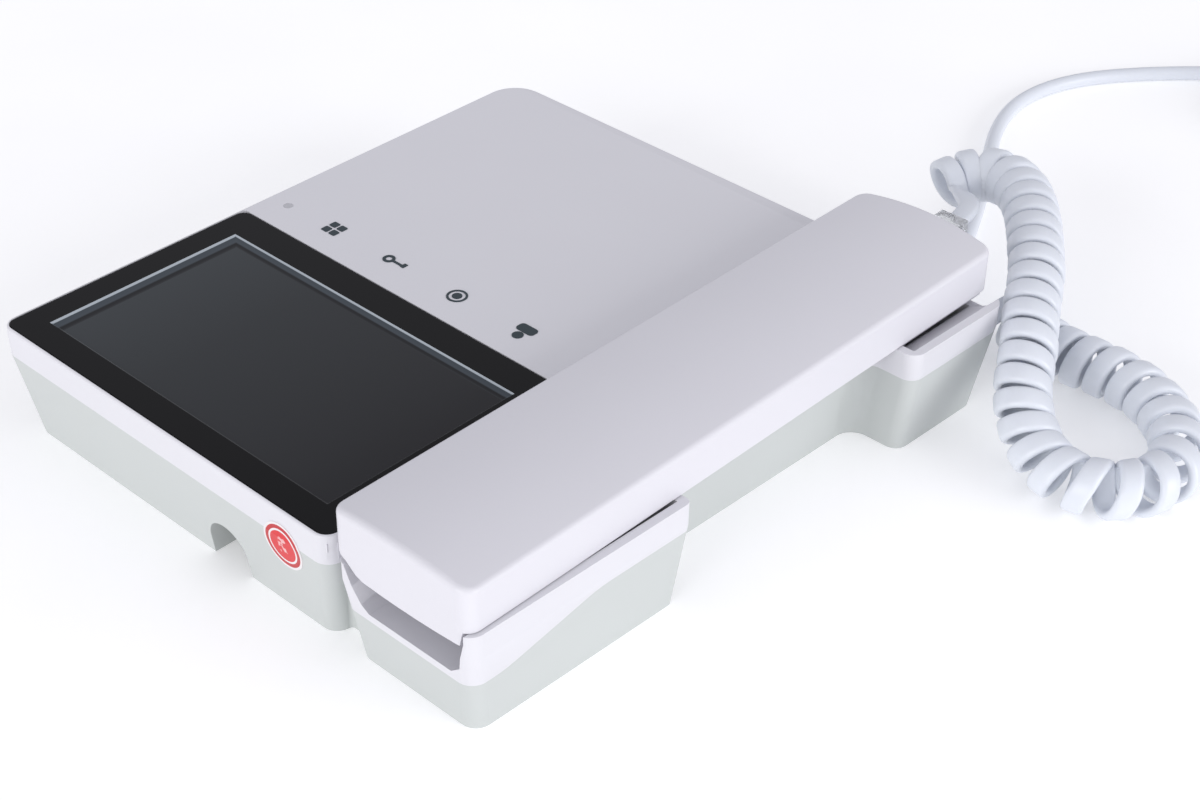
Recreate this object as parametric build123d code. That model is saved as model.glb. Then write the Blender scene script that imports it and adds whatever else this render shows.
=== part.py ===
from build123d import *
import os
from math import cos, pi, radians, sin, tan

# Video intercom monitor with a handset, lying on its back.  Millimetres.
# X runs right across the face, away from the handset; Y runs up the face; Z runs out of the wall.
# The origin is under the middle of the object, on its back face.

# ---- Driving dimensions -------------------------------------------------------------------
BODY_WIDTH = 114.0  # main body, without the cradle
BODY_LENGTH = 168.4
BODY_HEIGHT = 29.0
RIGHT = 80.5  # main body's right side
TOP = 87.7  # main body's top edge
LEFT = RIGHT - BODY_WIDTH
BOTTOM = TOP - BODY_LENGTH
SEAM = 21.5  # where the white cover meets the grey one
WALL = 2.2
CORNER = 4.0
FACE_CORNER = 9.0  # the face's bottom right corner
FACE_EDGE = 0.6  # rounding of the face's edge
SLOPE_WIDE, SLOPE_NARROW, SLOPE = 4.6, 1.8, 0.16  # the face falls away along its lower edge
DRAFT_RIGHT, DRAFT_TOP, DRAFT_BOTTOM, DRAFT_LEFT = 4.4, 2.9, 4.8, 2.0

CRADLE_INNER = LEFT - 2.8  # inner side of the upper cradle lobe
CRADLE_OUTER = LEFT - 41.4  # outer side of the cradle at the top edge
CRADLE_FLARE = 0.0325  # the outer side leans out by this much per mm of length
CRADLE_BOTTOM = BOTTOM - 4.0
RIM = 27.4  # top of the cradle's rim
LEDGE = 26.0  # top of the cradle's inner wall
END_RIM = 23.2  # top of the lower lobe's end wall
SHELF = 25.0  # the cover under the handset's grip
UPPER_LOBE_END = 24.9
LOWER_LOBE_START = -50.0
RECESS = LEFT - 29.5  # wall behind the fingers, at the upper lobe
LOBE_SEAM = 20.0
LOW_SEAM = 13.7  # the seam dips to this height round the upper lobe's end
UPPER_TROUGH_FLOOR = 15.8
LOWER_TROUGH_FLOOR = 16.2

GLASS_LENGTH = 71.1
GLASS_THICK = 2.0
GLASS_MARGIN = 0.7
GLASS_LINE = TOP - 71.8  # lower edge of the glass
WINDOW_WIDTH, WINDOW_LENGTH = 97.0, 54.6
WINDOW_CENTRE = (23.9, 52.2)

KEY_PITCH = 21.85
KEY_FIRST = 56.7
KEY_LINE = 6.4  # height of the row of touch keys up the face
KEY_PRINT = 0.15

HANDSET_WIDTH = 39.5
HANDSET_LENGTH = 173.8  # between the ends' corners
HANDSET_BOW = 0.8  # the ends bulge by this much
HANDSET_RIGHT = LEFT - 1.0
HANDSET_MIDDLE = HANDSET_RIGHT - HANDSET_WIDTH / 2
HANDSET_UNDER = 27.7
HANDSET_EDGE = 38.2
HANDSET_CROWN = 40.3
BULGE_UNDER = 24.3
CAP_UNDER = 20.4
HANDSET_WALL = 2.0

SCREW_RADIUS = 1.45
CASE_SCREWS = [(71.0, 17.5), (-27.0, 17.5), (70.0, -70.0), (-22.0, -70.0)]
MOUNT_SPACING_X, MOUNT_SPACING_Y = 60.0, 90.0
MOUNT_CENTRE_X = 23.5
MOUNT_HOLE = 2.25
NOTCH_X, NOTCH_WIDTH, NOTCH_HEIGHT = 3.0, 12.6, 11.5

PLUG_WIDTH, PLUG_THICK, PLUG_LENGTH = 7.65, 6.6, 16.0
HANDSET_JACK = (-55.5, 33.2)  # X and Z of the socket in the handset's end
BASE_JACK = (-60.5, 9.0)  # X and Z of the socket in the cradle's bottom wall
HOOK_PLACE = (-54.0, 10.0)

COIL_RADIUS = 7.25  # the curly cord's outer radius
LEAD_RADIUS = 1.6
POWER_RADIUS = 2.1
POWER_EXIT = (-43.5, 9.0)  # X and Z of the power cord's strain relief
RING_MIDDLE = (-78.2, -276.0)  # the put-away power cord: four turns wide and two high
RING_RADIUS = 23.5
RING_WIDTH = 8 * POWER_RADIUS
RING_HEIGHT = 4 * POWER_RADIUS
TIE_THICK = 0.6
MAINS_PLUG_THICK = 13.7

# Middle line of the curly cord, from the handset's end to the base's end.
CURLY_ROUTE = [
    (-36.5, -120.5, 26.0), (-38.8, -129.0, 27.2), (-45.8, -132.6, 28.2), (-54.8, -129.9, 28.6),
    (-65.0, -119.0, 28.5), (-75.6, -105.2, 26.8), (-83.5, -91.9, 23.8), (-90.7, -79.9, 19.8),
    (-96.9, -69.5, 14.3), (-104.8, -63.0, 9.0), (-114.7, -60.0, 7.3), (-124.6, -61.2, 7.3),
    (-131.8, -69.0, 7.3), (-132.8, -81.2, 7.3), (-125.3, -94.1, 7.3), (-113.3, -101.5, 7.3),
    (-100.0, -103.3, 7.3), (-84.0, -102.2, 7.3), (-69.0, -105.5, 7.3),
]
HANDSET_LEAD_ROUTE = [
    (-55.5, -97.65, 33.2), (-55.0, -105.5, 33.3), (-48.5, -112.5, 31.0), (-42.0, -120.5, 26.8),
]
BASE_LEAD_ROUTE = [(-60.5, -90.5, 9.0), (-60.5, -99.5, 8.0), (-67.8, -101.2, 7.3)]
POWER_ROUTE = [
    (-43.5, -103.7, 9.0), (-43.0, -115.5, 6.6), (-38.5, -130.0, 2.2), (-27.5, -154.1, 2.15),
    (-14.5, -177.1, 2.15), (-3.5, -198.1, 2.15), (0.5, -218.1, 2.15), (-4.5, -238.1, 2.15),
    (-18.5, -257.5, 2.15), (-37.0, -275.5, 2.2), (-54.6, -294.2, 2.75),
]
TAIL_ROUTE = [(-66.3, -302.5, 6.5), (-82.0, -308.5, 3.2), (-97.0, -311.5, 6.85)]


# ---- Helpers --------------------------------------------------------------------------------
def box(x, y, z):
    """A box between two limits on each axis."""
    size = [high - low for low, high in (x, y, z)]
    middle = [(low + high) / 2 for low, high in (x, y, z)]
    return Pos(*middle) * Box(*size)


def rod(x, y, z, radius):
    """An upright round rod between two heights."""
    return Pos(x, y, (z[0] + z[1]) / 2) * Cylinder(radius, z[1] - z[0])


def union(pieces):
    joined = pieces[0]
    for piece in pieces[1:]:
        joined = joined + piece
    return joined


def polygon(points, height=0.0):
    return Pos(0, 0, height) * make_face(Polyline(*points, close=True))


def rounded(points, radii, height=0.0):
    """A face whose corners have the given radii."""
    outline = FilletPolyline(*points, radius=radii, close=True)
    return Pos(0, 0, height) * make_face(outline)


def slab(face, thickness):
    return extrude(face, amount=thickness, dir=(0, 0, 1))


def outer_x(y):
    """X of the cradle's outer side at a place up the face."""
    return CRADLE_OUTER - CRADLE_FLARE * (TOP - y)


def tube(points, radius, name):
    """A round tube along straight runs joined by arcs as large as the runs allow."""
    places = [Vector(*point) for point in points]
    radii = []
    for before, here, after in zip(places, places[1:], places[2:]):
        into, away = here - before, after - here
        turn = radians(into.get_angle(away))
        radii.append(0.45 * min(into.length, away.length) / tan(turn / 2))
    path = FilletPolyline(*points, radius=radii) if radii else Line(*points)
    start = Plane(origin=path @ 0, z_dir=path % 0)
    solid = sweep(start * Circle(radius), path=path)
    share = solid.volume / (pi * radius**2 * path.length)
    print(name, "length", round(path.length, 1), "least radius",
          round(min(radii, default=0), 1), "volume share", round(share, 4))
    print(name, "radii", [round(value, 1) for value in radii])
    return solid


# ---- The casing -----------------------------------------------------------------------------
def base_outline(level):
    """The base's plan at a height: level 0 is the back face and level 1 the seam."""
    corners = [  # at the back, at the seam, radius
        ((RIGHT - DRAFT_RIGHT, TOP - DRAFT_TOP), (RIGHT, TOP), CORNER),
        ((LEFT + 2.5, TOP - DRAFT_TOP), (LEFT, TOP), CORNER),
        ((LEFT + 2.5, TOP - 7.3), (LEFT, TOP - 5.3), 1.0),
        ((CRADLE_INNER - 2.6, TOP - 7.3), (CRADLE_INNER, TOP - 5.3), 1.0),
        ((CRADLE_INNER - 2.6, TOP - DRAFT_TOP), (CRADLE_INNER, TOP), 2.5),
        ((CRADLE_OUTER + DRAFT_LEFT, TOP - DRAFT_TOP), (CRADLE_OUTER, TOP), CORNER),
        ((outer_x(UPPER_LOBE_END) + DRAFT_LEFT, UPPER_LOBE_END + 2.5),
         (outer_x(UPPER_LOBE_END), UPPER_LOBE_END), 1.5),
        ((RECESS + 2.0, UPPER_LOBE_END + 2.5), (RECESS, UPPER_LOBE_END), 5.0),
        ((RECESS - 0.4, LOWER_LOBE_START + 0.5), (RECESS - 2.4, LOWER_LOBE_START), 5.0),
        ((outer_x(LOWER_LOBE_START) + DRAFT_LEFT, LOWER_LOBE_START + 0.5),
         (outer_x(LOWER_LOBE_START), LOWER_LOBE_START), 3.5),
        ((outer_x(CRADLE_BOTTOM) + DRAFT_LEFT, CRADLE_BOTTOM + 5.1),
         (outer_x(CRADLE_BOTTOM), CRADLE_BOTTOM), CORNER),
        ((LEFT - 5.0, CRADLE_BOTTOM + 5.1), (LEFT - 5.0, CRADLE_BOTTOM), 2.0),
        ((LEFT, BOTTOM + DRAFT_BOTTOM), (LEFT, BOTTOM), 2.0),
        ((RIGHT - DRAFT_RIGHT, BOTTOM + DRAFT_BOTTOM), (RIGHT, BOTTOM), FACE_CORNER),
    ]
    points = [
        (low[0] + level * (high[0] - low[0]), low[1] + level * (high[1] - low[1]))
        for low, high, _ in corners
    ]
    return rounded(points, [radius for _, _, radius in corners], level * SEAM)


def rooms(clearance=0.0, ceiling=26.8):
    """The hollow inside the casing, as the union of four rooms."""
    gap = WALL + clearance
    back = RIGHT - DRAFT_RIGHT - gap
    plans = [  # plan at the back, plan at the seam
        ([(LEFT + 2.5 + gap, BOTTOM + DRAFT_BOTTOM + gap), (back, BOTTOM + DRAFT_BOTTOM + gap),
          (back, TOP - DRAFT_TOP - gap), (LEFT + 2.5 + gap, TOP - DRAFT_TOP - gap)],
         [(LEFT + gap, BOTTOM + gap), (RIGHT - gap, BOTTOM + gap),
          (RIGHT - gap, TOP - gap), (LEFT + gap, TOP - gap)]),
        ([(RECESS + 2.0 + gap, BOTTOM + DRAFT_BOTTOM + gap), (0, BOTTOM + DRAFT_BOTTOM + gap),
          (0, TOP - 7.3 - gap), (RECESS + 2.0 + gap, TOP - 7.3 - gap)],
         [(RECESS + gap, BOTTOM + gap), (0, BOTTOM + gap),
          (0, TOP - 7.3 - gap), (RECESS + gap, TOP - 7.3 - gap)]),
        ([(CRADLE_OUTER + DRAFT_LEFT + gap, TOP - DRAFT_TOP - gap),
          (outer_x(UPPER_LOBE_END) + DRAFT_LEFT + gap, UPPER_LOBE_END + 2.5 + gap),
          (CRADLE_INNER - 2.6 - gap, UPPER_LOBE_END + 2.5 + gap),
          (CRADLE_INNER - 2.6 - gap, TOP - DRAFT_TOP - gap)],
         [(CRADLE_OUTER + gap, TOP - gap), (outer_x(UPPER_LOBE_END) + gap, UPPER_LOBE_END + gap),
          (CRADLE_INNER - gap, UPPER_LOBE_END + gap), (CRADLE_INNER - gap, TOP - gap)]),
        ([(outer_x(LOWER_LOBE_START) + DRAFT_LEFT + gap, LOWER_LOBE_START - gap),
          (outer_x(CRADLE_BOTTOM) + DRAFT_LEFT + gap, CRADLE_BOTTOM + 5.1 + gap),
          (LEFT - 5.0 - gap, CRADLE_BOTTOM + 5.1 + gap), (LEFT - 5.0 - gap, LOWER_LOBE_START - gap)],
         [(outer_x(LOWER_LOBE_START) + gap, LOWER_LOBE_START - gap),
          (outer_x(CRADLE_BOTTOM) + gap, CRADLE_BOTTOM + gap),
          (LEFT - 5.0 - gap, CRADLE_BOTTOM + gap), (LEFT - 5.0 - gap, LOWER_LOBE_START - gap)]),
    ]
    return [
        loft([polygon(low, WALL), polygon(high, SEAM)], ruled=True)
        + slab(polygon(high, SEAM), ceiling - SEAM)
        for low, high in plans
    ]


def casing_block():
    """The casing's outer shape as one block: drafted base, face and cradle."""
    base = loft([base_outline(0), base_outline(1)], ruled=True)
    face_plan = rounded(
        [(RIGHT, TOP), (LEFT, TOP), (LEFT, BOTTOM), (RIGHT, BOTTOM)],
        [CORNER, CORNER, CORNER, FACE_CORNER], SEAM)
    face = slab(face_plan, BODY_HEIGHT - SEAM)
    face = fillet(face.edges().group_by(Axis.Z)[-1], FACE_EDGE)
    face -= face_slope()
    cradle = slab(base_outline(1), RIM - SEAM) & box((-100, LEFT), (-100, 100), (SEAM, RIM))
    return base + face + cradle


def face_slope():
    """The wedge taken off the face's lower edge: it widens towards the handset."""
    sections = []
    front, above = BOTTOM - 2, BODY_HEIGHT + 2
    for x, wide in ((LEFT - 1, SLOPE_WIDE), (RIGHT + 1, SLOPE_NARROW)):
        edge = BOTTOM + wide
        low = BODY_HEIGHT - (edge - front) * SLOPE
        points = [(edge, BODY_HEIGHT), (edge, above), (front, above), (front, low)]
        sections.append(make_face(Polyline(*[(x, y, z) for y, z in points], close=True)))
    return loft(sections, ruled=True)


def below_seam():
    """Everything under the line where the two covers meet."""
    main = box((LEFT - 1.4, 100), (-110, 100), (-5, SEAM))
    line = FilletPolyline((-110, 20.4), (52, LOBE_SEAM), (78, LOW_SEAM), (110, LOW_SEAM - 0.1),
                          radius=[26, 26])
    outline = line + Polyline((110, LOW_SEAM - 0.1), (110, -5), (-110, -5), (-110, 20.4))
    side = Plane.YZ.offset(-100) * make_face(outline)
    return main + extrude(side, amount=100 + LEFT - 1.4, dir=(1, 0, 0))


def trough(floor, start, end, outer_side):
    """The space in the cradle for one end of the handset; outer_side runs from its floor to the rim."""
    sections = []
    for y in (start, end):
        wall = outer_x(min(y, TOP)) + WALL
        points = [
            (LEFT - 1.7, RIM + 3), (LEFT - 1.7, LEDGE), (LEFT - 5.0, LEDGE), (LEFT - 9.2, floor + 1.6),
            (LEFT - 11.2, floor),
        ]
        points += [(wall + across, z) for across, z in outer_side] + [(wall, RIM + 3)]
        face = make_face(Polyline(*[(x, y, z) for x, z in points], close=True))
        sections.append(face)
    return loft(sections, ruled=True)


def glass_plan(clearance, height):
    low, high = GLASS_LINE - clearance, GLASS_LINE + GLASS_LENGTH + clearance
    left, right = LEFT + GLASS_MARGIN - clearance, RIGHT - GLASS_MARGIN + clearance
    return rounded([(right, high), (left, high), (left, low), (right, low)], [3.3, 3.3, 0.6, 0.6], height)


def window(clearance, z):
    x, y = WINDOW_CENTRE
    wide, long = WINDOW_WIDTH / 2 + clearance, WINDOW_LENGTH / 2 + clearance
    return box((x - wide, x + wide), (y - long, y + long), z)


def front_cover(block, below, hollow):
    """White cover: the face, the screen pocket, the shelf and the two troughs."""
    upper_tub = box((-100, CRADLE_INNER + 1.2), (UPPER_LOBE_END, TOP + 1),
                    (UPPER_TROUGH_FLOOR - WALL, RIM))
    lower_tub = box((-100, LEFT - 0.7), (CRADLE_BOTTOM - 1, LOWER_LOBE_START),
                    (LOWER_TROUGH_FLOOR - WALL, RIM))
    above = block - below
    inside = rooms(clearance=0.2)
    floor = GLASS_THICK + WALL
    cover = above - union(hollow)
    cover += (upper_tub + lower_tub) & above
    for tub, room in ((upper_tub, 1), (upper_tub, 2), (lower_tub, 1), (lower_tub, 3)):
        cover += tub & inside[room]
    cover += box((LEFT + 1, RIGHT - 1), (GLASS_LINE - WALL, TOP - 1),
                 (BODY_HEIGHT - floor, BODY_HEIGHT - GLASS_THICK))
    cover += box((RECESS + 1, LEFT), (LOWER_LOBE_START - 1, UPPER_LOBE_END + 1), (SHELF - WALL, SHELF))
    cover += box((LEFT, LEFT + WALL), (BOTTOM + 3, TOP - 3), (SHELF - WALL, 27))
    for x, y in CASE_SCREWS:
        cover += rod(x, y, (SEAM, 26.9), 3.6)
    cover -= box((-100, LEFT), (LOWER_LOBE_START, UPPER_LOBE_END), (SHELF, RIM + 1))
    cover -= box((LEFT - 2.8, LEFT), (LOWER_LOBE_START - 40, TOP + 1), (LEDGE, RIM + 1))
    cover -= trough(UPPER_TROUGH_FLOOR, TOP + 3, UPPER_LOBE_END + WALL,
                    [(4.2, UPPER_TROUGH_FLOOR), (1.4, UPPER_TROUGH_FLOOR + 2.4), (0, RIM - 2)])
    cover -= trough(LOWER_TROUGH_FLOOR, LOWER_LOBE_START - WALL, CRADLE_BOTTOM + WALL,
                    [(14.5, LOWER_TROUGH_FLOOR), (10.5, 18.8), (6.2, 23.3), (0, RIM - 0.7)])
    end_wall = (outer_x(CRADLE_BOTTOM) + WALL, LEFT - 2)
    cover -= box(end_wall, (CRADLE_BOTTOM - 1, CRADLE_BOTTOM + 3), (END_RIM, RIM + 1))
    cover -= slab(glass_plan(0.1, BODY_HEIGHT - GLASS_THICK), 5)
    cover -= window(0.1, (20, 30))
    for x, y in CASE_SCREWS:
        cover -= rod(x, y, (SEAM - 1, 26.0), SCREW_RADIUS + 0.05)
    cover -= rod(73.5, 7.0, (20, 30), 1.25)
    x, y = HOOK_PLACE
    cover -= box((x - 4.2, x + 4.2), (y - 2.7, y + 2.7), (20, 30))
    return cover


def rear_cover(block, below, hollow):
    """Grey cover: the tapered shell with its notch, posts, sockets and wall holes."""
    cover = block & below
    cover -= union(hollow)
    cover += box((NOTCH_X - 8.5, NOTCH_X + 8.5), (76.0, TOP - DRAFT_TOP - 1), (1, 14.0))
    for x, y in CASE_SCREWS:
        cover += rod(x, y, (1, SEAM), 4.4)
        cover -= rod(x, y, (-1, 8.0), 3.2)
        cover -= rod(x, y, (0, SEAM + 1), SCREW_RADIUS + 0.25)
    for x, y in board_posts():
        cover += rod(x, y, (1, 10.0), 3.0)
        cover -= rod(x, y, (3.0, 11.0), 1.25)
    for side in (-1, 1):
        for end in (-1, 1):
            cover -= rod(MOUNT_CENTRE_X + side * MOUNT_SPACING_X / 2, end * MOUNT_SPACING_Y / 2,
                         (-1, WALL + 1), MOUNT_HOLE)
    arch = NOTCH_WIDTH / 2
    cover -= box((NOTCH_X - arch, NOTCH_X + arch), (70, 100), (-1, NOTCH_HEIGHT - arch))
    cover -= Pos(NOTCH_X, 85, NOTCH_HEIGHT - arch) * Rot(90, 0, 0) * Cylinder(arch, 30)
    x, z = BASE_JACK
    cover -= box((x - 6.1, x + 6.1), (CRADLE_BOTTOM - 1, CRADLE_BOTTOM + 9), (z - 5.6, z + 5.6))
    x, z = POWER_EXIT
    cover -= Pos(x, CRADLE_BOTTOM + 3, z) * Rot(90, 0, 0) * Cylinder(4.3, 12)
    cover -= Pos(x, CRADLE_BOTTOM + 9.3, z) * Rot(90, 0, 0) * Cylinder(5.2, 5)
    for row in range(-3, 4):
        cover -= box((-40 - 9, -40 + 9), (-22 + 4 * row - 0.75, -22 + 4 * row + 0.75), (-1, WALL + 1))
    return cover


def board_posts():
    main = [(-16.0, 27.0), (68.0, 27.0), (-16.0, 67.0), (68.0, 67.0)]
    power = [(14.0, -58.0), (66.0, -58.0), (14.0, -18.0), (66.0, -18.0)]
    return main + power


# ---- Screen, keys and electronics ----------------------------------------------------------
def key_prints():
    """Four flush symbols: squares, key, ringed dot, head and shoulders."""
    places = [KEY_FIRST - index * KEY_PITCH for index in range(4)]
    squares = union([
        Pos(places[0] + 1.35 * across, KEY_LINE + 1.35 * up) * RectangleRounded(2.1, 2.1, 0.3)
        for across in (-1, 1) for up in (-1, 1)
    ])
    key = Pos(places[1] + 1.9, KEY_LINE) * (Circle(1.6) - Circle(0.8))
    key += Pos(places[1] - 1.5, KEY_LINE) * Rectangle(4.0, 0.7)
    key += Pos(places[1] - 3.1, KEY_LINE - 0.3) * Rectangle(1.1, 1.7)
    ringed = Pos(places[2], KEY_LINE) * (Circle(2.6) - Circle(2.05) + Circle(1.25))
    person = Pos(places[3], KEY_LINE + 1.7) * Circle(1.4)
    person += Pos(places[3], KEY_LINE - 1.4) * RectangleRounded(5.4, 2.9, 1.0)
    return [slab(Pos(0, 0, BODY_HEIGHT) * symbol, KEY_PRINT) for symbol in (squares, key, ringed, person)]


def lcd_frame():
    x, y = WINDOW_CENTRE
    tray = box((x - 50, x + 50), (y - 29, y + 29), (18.5, 24.7))
    return tray - window(0.1, (23.2, 30)) - box((x - 46, x + 46), (y - 25, y + 25), (18, 21))


def main_board():
    board = box((-22, 74), (22, 72), (10.0, 11.6))
    for x, y in board_posts()[:4]:
        board -= rod(x, y, (9, 13), 1.5)
    return board


def power_board():
    board = box((8, 72), (-64, -12), (10.0, 11.6))
    for x, y in board_posts()[4:]:
        board -= rod(x, y, (9, 13), 1.5)
    return board


def board_chips():
    sizes = [(20, 44, 16, 16, 1.6), (45, 46, 12, 12, 1.4), (2, 40, 9, 14, 1.2), (46, 62, 8, 6, 1.8),
             (20, 62, 10, 5, 1.5)]
    return [
        box((x - wide / 2, x + wide / 2), (y - long / 2, y + long / 2), (11.6, 11.6 + tall))
        for x, y, wide, long, tall in sizes
    ]


def door_connectors():
    shells = []
    for index in range(4):
        x = -8 + 13 * index
        shell = box((x - 5, x + 5), (65.5, 71.5), (11.6, 17.6))
        shells.append(shell - box((x - 4.2, x + 4.2), (66.3, 70.7), (13.0, 18)))
    return shells


def power_capacitors():
    return [rod(x, y, (11.6, 11.6 + tall), radius)
            for x, y, tall, radius in [(24, -48, 13, 5), (24, -34, 11, 4), (60, -30, 9, 3.15)]]


def power_transformer():
    core = box((34, 54), (-54, -34), (11.6, 24.0)) - box((38, 50), (-60, -30), (14.5, 21.0))
    winding = box((38.2, 49.8), (-55.5, -32.5), (14.7, 20.8))
    return core + winding


def chime_speaker():
    basket = rod(-40, -22, (WALL + 0.1, 5.4), 18.0) - rod(-40, -22, (1, 3.6), 16.0)
    return basket + rod(-40, -22, (5.0, 9.0), 12.0) + rod(-40, -22, (8.5, 13.0), 9.0)


def screw(x, y, head_z, shank_z, head_radius, radius):
    shank = rod(x, y, shank_z, radius)
    head = rod(x, y, head_z, head_radius)
    slot = min(head_z, key=lambda z: abs(z - (shank_z[0] if head_z[0] < shank_z[0] else head_z[1])))
    cross = box((x - 1.6, x + 1.6), (y - 0.35, y + 0.35), (slot - 0.8, slot + 0.8))
    cross += box((x - 0.35, x + 0.35), (y - 1.6, y + 1.6), (slot - 0.8, slot + 0.8))
    return shank + head - cross


def case_screws():
    return [screw(x, y, (6.0, 8.0), (7.9, 25.5), 2.9, SCREW_RADIUS) for x, y in CASE_SCREWS]


def board_screws():
    return [screw(x, y, (11.6, 13.2), (4.0, 11.7), 2.4, 1.2) for x, y in board_posts()]


def seal_sticker(block):
    """A thin round label that bends over the seam at the top edge."""
    skin = Pos(0, KEY_PRINT, 0) * block - block
    disc = Pos(-18.9, TOP, 19.3) * Rot(90, 0, 0) * Cylinder(6.0, 6.0)
    return skin & disc


# ---- Hook switch ----------------------------------------------------------------------------
def hook_plunger():
    x, y = HOOK_PLACE
    stem = box((x - 4, x + 4), (y - 2.5, y + 2.5), (15.0, HANDSET_UNDER - 0.15))
    flange = box((x - 6, x + 6), (y - 4.5, y + 4.5), (15.0, 17.0))
    return stem + flange + rod(x, y, (12.0, 15.5), 1.4)


def hook_spring():
    x, y = HOOK_PLACE
    path = Pos(x, y, 8.8) * Helix(pitch=1.5, height=5.6, radius=2.6)
    start = Plane(origin=path @ 0, z_dir=path % 0)
    return sweep(start * Circle(0.3), path=path, is_frenet=True)


def hook_switch():
    x, y = HOOK_PLACE
    body = box((x - 3, x + 3), (y - 6, y + 6), (WALL + 0.1, 8.3))
    return body + rod(x, y, (8.2, 9.0), 1.2)


# ---- Handset --------------------------------------------------------------------------------
def handset_plan(inset, height):
    """The handset's plan: straight sides and gently bulging ends."""
    right, left = HANDSET_RIGHT - inset, HANDSET_RIGHT - HANDSET_WIDTH + inset
    end = HANDSET_LENGTH / 2 - inset
    outline = (
        Line((left, -end), (left, end))
        + ThreePointArc((left, end), (HANDSET_MIDDLE, end + HANDSET_BOW), (right, end))
        + Line((right, end), (right, -end))
        + ThreePointArc((right, -end), (HANDSET_MIDDLE, -end - HANDSET_BOW), (left, -end))
    )
    face = make_face(outline)
    face = fillet(face.vertices(), 3.6 - inset if inset < 2 else 1.6)
    return Pos(0, 0, height) * face


def crown(drop):
    """A long round bar whose top gives the handset its crowned back."""
    half = HANDSET_WIDTH / 2
    rise = HANDSET_CROWN - HANDSET_EDGE
    radius = (half**2 + rise**2) / (2 * rise)
    return Pos(HANDSET_MIDDLE, 0, HANDSET_CROWN - radius) * Rot(90, 0, 0) * Cylinder(radius - drop, 200)


def handset_upper_shell():
    outside = slab(handset_plan(0, HANDSET_UNDER), 20) & crown(0)
    outside = fillet(outside.edges().filter_by(lambda e: e.center().Z > HANDSET_EDGE - 1.0), 1.4)
    inside = slab(handset_plan(HANDSET_WALL, HANDSET_UNDER - 1), 20) & crown(HANDSET_WALL)
    x, z = HANDSET_JACK
    mouth = box((x - 4.2, x + 4.2), (-90, -80), (z - 3.6, z + 3.6))
    return outside - inside - mouth


def end_bulge(start, end):
    """The deeper part of the handset's underside at one end."""
    section = [
        (HANDSET_RIGHT - 2.1, HANDSET_UNDER), (HANDSET_RIGHT - 4.4, HANDSET_UNDER - 0.9),
        (HANDSET_RIGHT - 7.4, BULGE_UNDER + 0.5), (HANDSET_RIGHT - 9.4, BULGE_UNDER),
        (HANDSET_RIGHT - HANDSET_WIDTH + 2.5, BULGE_UNDER),
        (HANDSET_RIGHT - HANDSET_WIDTH + 1.9, HANDSET_UNDER),
    ]
    face = make_face(Polyline(*[(x, start, z) for x, z in section], close=True))
    return extrude(face, amount=end - start, dir=(0, 1, 0)) & slab(handset_plan(0, 0), 60)


def pad_plan(y, width, length, radius, height):
    return Pos(HANDSET_MIDDLE - 2.0, y, height) * RectangleRounded(width, length, radius)


def handset_lower_shell():
    plate = slab(handset_plan(HANDSET_WALL + 0.05, HANDSET_UNDER), 2.0)
    shell = plate + end_bulge(32.0, 90.0) + end_bulge(-90.0, -54.0)
    shell += slab(pad_plan(54.0, 24, 36, 8, CAP_UNDER + 1.6), 3.0)
    shell += slab(pad_plan(-67.0, 22, 20, 7, CAP_UNDER + 2.1), 3.0)
    shell -= rod(HANDSET_MIDDLE - 2.0, 54.0, (15, 40), 5.0)
    shell -= rod(HANDSET_MIDDLE - 2.0, -67.0, (15, 40), 2.0)
    for y in (28.0, -40.0):
        shell -= rod(HANDSET_MIDDLE, y, (20, 40), 1.5)
        shell -= rod(HANDSET_MIDDLE, y, (20, HANDSET_UNDER + 1.0), 2.6)
    return shell


def sound_cap(y, width, length, radius, under, holes):
    """A thin cap with rings of sound holes."""
    cap = slab(pad_plan(y, width, length, radius, under), 1.5)
    for ring, count in holes:
        for index in range(count):
            turn = 2 * pi * index / count
            cap -= rod(HANDSET_MIDDLE - 2.0 + ring * cos(turn), y + ring * sin(turn), (15, 30), 0.9)
    return cap


def earpiece_speaker():
    x = HANDSET_MIDDLE - 2.0
    return rod(x, 54.0, (29.8, 32.4), 13.0) + rod(x, 54.0, (32.0, 35.4), 8.0)


def handset_screws():
    head = (HANDSET_UNDER + 0.1, HANDSET_UNDER + 0.95)
    return [screw(HANDSET_MIDDLE, y, head, (head[1] - 0.05, 36.0), 2.4, 1.3) for y in (28.0, -40.0)]


# ---- Sockets, plugs and cords ---------------------------------------------------------------
def modular_jack(x, front, z, depth):
    """A socket for a four-way handset plug, open towards -Y."""
    shell = box((x - 6.0, x + 6.0), (front, front + depth), (z - 3.45, z + 3.45))
    return shell - box((x - 3.9, x + 3.9), (front - 1, front + depth - 2.5), (z - 3.35, z + 3.35))


def modular_plug(x, back, z):
    """A clear four-way plug: body, latch and the slots of its contacts."""
    body = box((x - PLUG_WIDTH / 2, x + PLUG_WIDTH / 2), (back, back + PLUG_LENGTH),
               (z - PLUG_THICK / 2, z + PLUG_THICK / 2 - 1.2))
    latch = box((x - 1.6, x + 1.6), (back + 3.0, back + PLUG_LENGTH - 1),
                (z + PLUG_THICK / 2 - 1.3, z + PLUG_THICK / 2))
    slots = union([
        box((x + offset - 0.25, x + offset + 0.25), (back + PLUG_LENGTH - 4, back + PLUG_LENGTH + 1),
            (z - PLUG_THICK / 2 - 1, z - PLUG_THICK / 2 + 1.4))
        for offset in (-1.53, -0.51, 0.51, 1.53)
    ])
    return body + latch - slots


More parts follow.
